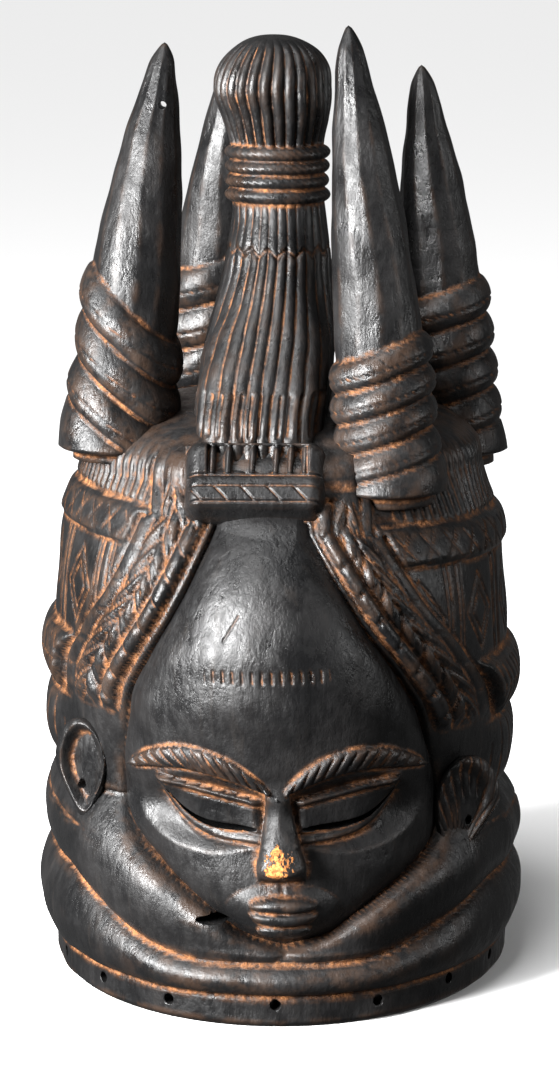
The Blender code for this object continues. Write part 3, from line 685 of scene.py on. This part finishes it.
def eyes(side, z):
    """Lids between a thin upper ridge and the slit, with a rim below it, in a shallow socket."""
    reach = (side - EYE_MIDDLE) / EYE_REACH
    bounded = np.clip(reach, -1.3, 1.12)
    slit = slit_height(bounded)
    top = 94.5 + 3.6 * (bounded + 1)
    ends = ease(1.28, 0.9, np.abs(reach))
    half = np.maximum((top - slit) / 2, 0.6)
    lid = np.sqrt(hump(z, (top + slit) / 2, half + 1.2)) * ends
    ridge = line(z - top, 1.6) * ends
    under = line(z - top + 2.4, 1.1) * ends
    rim = hump(z, slit - 3.2, 2.6) * ends
    below = line(z - slit + 6.6, 1.4) * ends
    socket = ease(0, 0.8, np.clip(1 - ((side - 29) / 30) ** 2 - ((z - 89) / 17) ** 2, 0, 1))
    return -4.6 * socket + 4.8 * lid + 1.5 * ridge - 0.7 * under + 2.0 * rim - 0.9 * below


def nose_and_lips(x, z):
    """A ridge that widens and rises to the tip, with two wings, over three stacked lip ridges."""
    down = np.clip((105 - z) / (105 - 70), 0, 1)
    half = 4.2 + 4.6 * down**2
    rise = (3.6 * ease(0, 0.3, down) + 8.6 * down**1.4) * ease(61.5, 68.5, z)
    ridge = rise * np.sqrt(hump(x, 0, half * 1.1))
    wings = 3.4 * np.clip(1 - ((np.abs(x) - 6.2) / 4) ** 2 - ((z - 67.5) / 5) ** 2, 0, 1)
    muzzle = 3.6 * np.clip(1 - (x / 24) ** 2 - ((z - 49) / 13) ** 2, 0, 1)
    lips = 0
    for middle, tall, wide, proud, bend in LIPS:
        bow = middle - 0.5 + bend * 1.4 * (x / 15) ** 2
        lip = np.sqrt(np.clip(1 - (x / wide) ** 2 - ((z - bow) / tall) ** 2, 0, 1))
        lips = np.maximum(lips, proud * lip)
    philtrum = 0.5 * line(x, 1.6) * ease(56, 58, z) * ease(63, 61, z)
    return np.maximum(ridge, wings) + muzzle + lips - philtrum


def forehead_marks(x, z):
    """A row of short upright cuts across the forehead, and one long scratch."""
    tall = ease(2.9, 1.9, np.abs(z - MARK_ROW - 0.02 * x))
    row = line(every(x - 1, MARK_PITCH), 0.9) * (np.abs(x + 1) < 25) * tall
    scratch = line(x + 14 - 0.7 * (z - 166), 0.7) * (np.abs(z - 166) < 5)
    return -0.8 * row - 0.5 * scratch


rows = np.linspace(FACE_TOP + 4, FACE_LOW + 0.4, FACE_ROWS)
QUARTER = math.pi / 2 * 0.985
even = np.linspace(-1, 1, FACE_COLUMNS)
share, z = np.meshgrid(0.4 * (np.sin(even * QUARTER) / math.sin(QUARTER)) + 0.6 * even, rows)
half_wide = curve_through(FACE_HALF_WIDTH, np.minimum(z, 203))
x = curve_through(FACE_MIDDLE, z) + half_wide * share
drawn_z = z - LEAN * x / 95
width, depth = curve_through(FACE_ROUND_WIDTH, drawn_z), curve_through(FACE_FRONT, drawn_z)
y = -depth * np.sqrt(np.clip(1 - (x / width) ** 2, 0.02, 1))
turn = np.arctan2(x, -y)
inside = np.minimum(face_outline(x, np.minimum(z, FACE_TOP - 6)), 0)
from_middle = x - curve_through(FACE_MIDDLE, z)
relief = brows(np.abs(from_middle), drawn_z) + eyes(np.abs(from_middle), drawn_z)
relief = relief * ease(0.5, 5, -inside) + nose_and_lips(from_middle, drawn_z)
relief = relief + forehead_marks(from_middle, drawn_z)
radius = np.hypot(x, y) + relief - 7 * np.exp(inside / 5.5)
face_front = around(radius, turn, drawn_z)
push_out(face_front, turn, wander(face_front, 26, 0.22))
back_share = np.linspace(1, 0, BACK_COLUMNS)[None, :, None]
face_back = face_front[:, -1:] * back_share + face_front[:, :1] * (1 - back_share)
back_deep = curve_through(FACE_FRONT, rows[:, None]) - FACE_THICK
back_wide = curve_through(FACE_ROUND_WIDTH, rows[:, None]) - 5
face_back[..., 1] = -back_deep * np.sqrt(np.clip(1 - (face_back[..., 0] / back_wide) ** 2, 0.02, 1))
grid = close_ends(np.concatenate([face_front, face_back], 1))
face_wood = blackened_wood("face_wood", place(NOSE_TIP), BARE_HALF)
carve("face", grid, face_wood, cutters=(eye_cut, jaw_cut))

# The horns: four tapering horns round the crown, with coils of twisted hair round the foot of each, over
# a smooth flange. The coils rise by their slant from one side of the horn to the side named by toward.
HORNS = {
    "horn_front_left": dict(foot=(-66, -30), tip=(-47.5, -15), low=219, high=389, radius=20,
                            coils=3, pitch=18.5, coil_low=228.5, slant=-33, toward=80, flange=223),
    "horn_front_right": dict(foot=(45, -62), tip=(28, -45), low=206, high=397, radius=18.5,
                             coils=4, pitch=12.5, coil_low=219.5, slant=13, toward=90, flange=211),
    "horn_back_right": dict(foot=(72, 40), tip=(58.5, 25), low=206, high=378, radius=19.5,
                            coils=4, pitch=16, coil_low=219, slant=12, toward=100, flange=211),
    "horn_back_left": dict(foot=(-38, 72), tip=(-20, 52), low=206, high=385, radius=20,
                           coils=4, pitch=18, coil_low=223, slant=-14, toward=-60, flange=213),
}
HORN_ROWS, HORN_COLUMNS = 210, 110
TIP_RADIUS = 2.6


def horn_grid(horn):
    """Middle line bowing inwards, a radius that falls with the cube of height, and slanting coils."""
    turn, level = np.meshgrid(np.linspace(-math.pi, math.pi, HORN_COLUMNS, endpoint=False),
                              np.linspace(0, 1, HORN_ROWS))
    cap = np.clip(level / 0.05, 0, 1)
    rise = np.clip(1 - level / 0.96, 0, 1)
    z = horn["low"] + (horn["high"] - horn["low"]) * rise
    bend = rise**1.3
    middle = [horn["foot"][i] + (horn["tip"][i] - horn["foot"][i]) * bend for i in (0, 1)]
    taper = 1 - rise**3
    radius = (TIP_RADIUS + (horn["radius"] - TIP_RADIUS) * taper) * np.sqrt(1 - (1 - cap) ** 2)
    slanted = z - horn["coil_low"] - horn["slant"] / 2 * np.cos(turn - math.radians(horn["toward"]))
    coil = slanted / horn["pitch"]
    on = ease(-0.02, 0.08, coil) * ease(horn["coils"] + 0.02, horn["coils"] - 0.08, coil)
    phase = coil - np.floor(coil)
    swell = 4.2 * np.abs(np.sin(math.pi * phase)) ** 0.55 * (1 - 0.25 * phase) * on
    cords = 0.7 * line((phase - 0.4) * horn["pitch"], 0.8) * on
    nicks = 0.25 * line(every(turn * 20 + coil * 9, 8.5), 0.7) * on * (np.sin(math.pi * phase) > 0.6)
    flare = 6 * ease(1, -0.6, coil) * (1 - 0.6 * on) * ease(horn["flange"] - 1, horn["flange"] + 1.5, z)
    facets = 0.35 * np.abs(np.sin(turn * 6 + 0.6 * np.sin(z / 17)))
    facets = facets * (coil > 1) * (1 - on) * ease(0, 0.1, level)
    radius = radius + swell - cords - nicks + flare - facets
    radius = radius * np.where(level > 0.96, np.clip((1 - level) / 0.04, 0, 1), 1)
    grid = around(radius, turn, z)
    grid[..., 0] += middle[0]
    grid[..., 1] += middle[1]
    grid[0], grid[-1] = grid[0].mean(0), grid[-1].mean(0)
    push_out(grid, turn, wander(grid, 22, 0.25) * ease(0, 0.05, level))
    grid[0], grid[-1] = grid[0].mean(0), grid[-1].mean(0)
    return grid


horn_drill = cutter("horn_drill", [bar((-48, -40, 364), (-48, 5, 364), 1.6)])
for name, horn in HORNS.items():
    carve(name, horn_grid(horn), cutters=(horn_drill,) if name == "horn_front_left" else ())

# The ponytail: a tall fluted column of hair, cut square at its foot, bound by cords and ending in a bun.
# Each section: height, middle across, half width, middle in depth, half depth.
SECTIONS = [
    (226, -7.5, 27, -12, 69), (238, -7, 27.5, -12, 67), (255, -5.5, 27.5, -11.5, 57), (275, -3, 26, -10, 46),
    (302, -0.8, 21.5, -10, 32), (324, -1, 19, -10.5, 22), (336, -1.5, 18.8, -10, 21),
    (347, -1.5, 19, -9.5, 21), (358, -2, 22, -9, 24.5), (371, -3.5, 24.2, -8.5, 27),
    (380, -3, 21.8, -8.5, 24.5), (387, -2.5, 15.6, -8.5, 18), (391, -3, 7.5, -8.5, 9), (392, -3, 0, -8.5, 0),
]
TIE_FOOT, TIE_TOP, TIE_CORDS = 324, 347, 4
COLUMN_FOOT, DOME_FOOT, DOME_TALL = 226, 380, 12
BUN_MIDDLE, BUN_HALF = 371, (24.2, 27, 21)
COLUMN_ROWS, DOME_ROWS, HAIR_COLUMNS = 220, 48, 350


def ponytail_grid():
    """Sections from a table of heights, middles and half sizes, with flutes, cords and pleats round them."""
    dome = DOME_FOOT + DOME_TALL * np.sin(np.linspace(0.02, 1, DOME_ROWS) * math.pi / 2)
    heights = np.concatenate([np.linspace(COLUMN_FOOT, DOME_FOOT, COLUMN_ROWS), dome])[::-1]
    turn, z = np.meshgrid(np.linspace(-math.pi, math.pi, HAIR_COLUMNS, endpoint=False), heights)
    middle_x, half_wide, middle_y, half_deep = [
        curve_through([(row[0], row[i]) for row in SECTIONS], z) for i in (1, 2, 3, 4)]
    round_top = hump(z, BUN_MIDDLE, BUN_HALF[2])**0.9
    half_wide = np.where(z > BUN_MIDDLE, BUN_HALF[0] * round_top, np.maximum(half_wide, 0))
    half_deep = np.where(z > BUN_MIDDLE, BUN_HALF[1] * round_top, np.maximum(half_deep, 0))
    square = 2 + 2 * ease(290, 250, z)
    out = (np.abs(np.sin(turn)) ** square + np.abs(np.cos(turn)) ** square) ** (-1 / square)
    tie = (z - TIE_FOOT) / (TIE_TOP - TIE_FOOT)
    on_tie = (tie > 0) & (tie < 1)
    strand = np.abs(np.sin(15 * turn + 0.35 * np.sin(z / 30) + 0.5 * np.sin(3 * turn)))
    column = (1.9 * strand**0.5 - 1.6) * (z < TIE_FOOT)
    boundary = 303 + 3.5 * np.abs(every(turn * 24, 9)) / 4.5
    column = np.where(z > boundary, column * 0.45, column) - 1.2 * line(z - boundary, 1.2) * (z < TIE_FOOT)
    teeth = -1.4 * line(every(turn * 36, 5), 1.3) * ease(252, 250, z) * ease(234, 236, z)
    pleats = np.abs(np.sin(14 * turn + 0.3 * np.sin(z / 9)))
    bun = (2.4 * pleats**0.6 - 2.0) * (z >= TIE_TOP) * ease(392, 383, z)
    wound = np.abs(np.sin(math.pi * TIE_CORDS * tie + 0.12 * np.sin(2 * turn)))
    twist = 0.35 * line(every(turn * 21 + z * 1.2, 3.2), 0.7)
    cords = np.where(on_tie, 3.2 * wound**0.6 - twist, 0)
    fade = ease(0, 6, half_wide)
    grow = (column + teeth + bun) * fade + cords
    x = middle_x + (half_wide + grow) * out * np.sin(turn)
    y = middle_y - (half_deep + grow) * out * np.cos(turn)
    grid = np.stack([x, y, z], 2)
    push_out(grid, turn, wander(grid, 25, 0.25) * fade)
    return close_ends(grid)


carve("ponytail", ponytail_grid())

# The charm case: a flat tablet between forehead and ponytail, with a comb of bars in a recess above
# a notched roll. It leans back with the slope of the head.
CASE_HALF = (28.5, 17)
CASE_THICK, CASE_TILT = 12, math.radians(31)
CASE_AT = (-8.3, -84.5, 219)
CASE_CORNER, CASE_EDGE = 7, 6.5
CASE_BARS = (-17.5, -11, -1.4, 8, 13.8, 19.6)


def case_height(u, v):
    """Height over the back plane: rounded edge, recess with bars, and a roll with two lines and notches."""
    edge = np.minimum(CASE_HALF[0] - np.abs(u), CASE_HALF[1] - np.abs(v))
    past_u = np.clip(np.abs(u) - CASE_HALF[0] + CASE_CORNER, 0, CASE_CORNER)
    past_v = np.clip(np.abs(v) - CASE_HALF[1] + CASE_CORNER, 0, CASE_CORNER)
    edge = np.minimum(edge, np.clip(CASE_CORNER - np.hypot(past_u, past_v), 0, None))
    height = CASE_THICK * np.sqrt(np.clip(1 - (1 - np.clip(edge / CASE_EDGE, 0, 1)) ** 2, 0, 1))
    recess = ease(-19.5, -18.5, u) * ease(21.5, 20.5, u) * ease(0.6, 1.6, v) * ease(14, 13.2, v)
    bars = 0
    for at in CASE_BARS:
        bars = np.maximum(bars, hump(u, at + 0.04 * v, 1.5))
    scallop = 0.5 * hump(every(u, 6.4), 0, 3.4) * ease(5, 1.5, v)
    height = height - 5.2 * recess * (1 - np.maximum(bars * 0.75, scallop))
    roll = 2.4 * hump(v, -8.5, 8)
    cuts = line(v + 5.2, 0.7) + line(v + 11.8, 0.7)
    marks = line(every(u + 0.9 * v, 10.5), 0.9) * (np.abs(v + 8.5) < 3)
    parting = 1.2 * line(v - 0.2, 1.1)
    return height + (roll - 0.8 * (cuts + marks)) * ease(1, 3, edge) - parting * ease(1, 3, edge)


def case_point(u, v, height):
    """From the tablet's own plane, tilted back at the top, to the drawing."""
    x = CASE_AT[0] + u
    y = CASE_AT[1] + v * math.sin(CASE_TILT) - (height - CASE_THICK / 2) * math.cos(CASE_TILT)
    z = CASE_AT[2] + v * math.cos(CASE_TILT) + (height - CASE_THICK / 2) * math.sin(CASE_TILT)
    return np.stack([x, y, z], 2)


v_rows = np.linspace(CASE_HALF[1], -CASE_HALF[1], 100)
u_front = np.linspace(-CASE_HALF[0], CASE_HALF[0], 170)
u, v = np.meshgrid(u_front, v_rows)
case_front = case_point(u, v, case_height(u, v))
u, v = np.meshgrid(np.linspace(CASE_HALF[0], -CASE_HALF[0], 8), v_rows)
case_back = case_point(u, v, np.full_like(u, -2.0))
carve("charm_case", close_ends(np.concatenate([case_front, case_back], 1)))

# The ears: flat dished plates beside the face, the left one a curled rim round a bowl, the right one
# a leaf with fine ribs. Each is drilled through for an ornament.
EARS = {
    "left": dict(at=(-81, -65, 95), turn=-40, size=(13.5, 21), lean=3, bowl=5.2, ribs=0.15,
                 hole=(-81, 88)),
    "right": dict(at=(78.5, -68, 80), turn=36, size=(16, 22), lean=7, bowl=2.8, ribs=0.9,
                  hole=(77.5, 75)),
}


def ear_grid(ear):
    """A lens that narrows to a leaning tip: a rim outside, a bowl open to the face, ribs that fan out."""
    turn, level = np.meshgrid(np.linspace(0, 2 * math.pi, 130, endpoint=False), np.linspace(0, 1, 90))
    spread = np.sin(level * math.pi) ** 0.7
    facing = np.cos(level * math.pi)
    thick = 4.5 * np.sign(facing) * np.abs(facing) ** 0.6
    outwards = math.copysign(1, ear["at"][0])
    beside, up = spread * np.sin(turn), -spread * np.cos(turn)
    low = ease(0.2, -1, up)
    bowl = np.hypot(beside * outwards + 0.22, up * 0.95 - 0.05)
    fan = np.arctan2(beside, up + 1.2)
    ribs = ear["ribs"] * line(every(fan * 20, 3.0), 0.8) * ease(0.2, 0.45, spread)
    dish = (ear["bowl"] * ease(0.85, 0.6, bowl) + ribs) * (facing > 0)
    across_ear = ear["size"][0] * beside * (1 - 0.5 * low) - outwards * ear["lean"] * low
    up_ear = ear["size"][1] * up
    angle = math.radians(ear["turn"])
    out = thick - dish
    x = ear["at"][0] + across_ear * math.cos(angle) + out * math.sin(angle)
    y = ear["at"][1] + across_ear * math.sin(angle) - out * math.cos(angle)
    grid = np.stack([x, y, ear["at"][2] + up_ear], 2)
    grid[0], grid[-1] = grid[0].mean(0), grid[-1].mean(0)
    return grid


for side, ear in EARS.items():
    angle = math.radians(ear["turn"])
    outwards = np.array([math.sin(angle), -math.cos(angle), 0])
    at = np.array([ear["hole"][0], ear["at"][1], ear["hole"][1]])
    drill = cutter(side + "_drill", [bar(at - outwards * 30, at + outwards * 30, 2)])
    carve(side + "_ear", ear_grid(ear), cutters=(drill,))

for tool in [o for o in bpy.data.objects if o.name.endswith(("_drill", "_cut"))]:
    bpy.data.objects.remove(tool)

import json
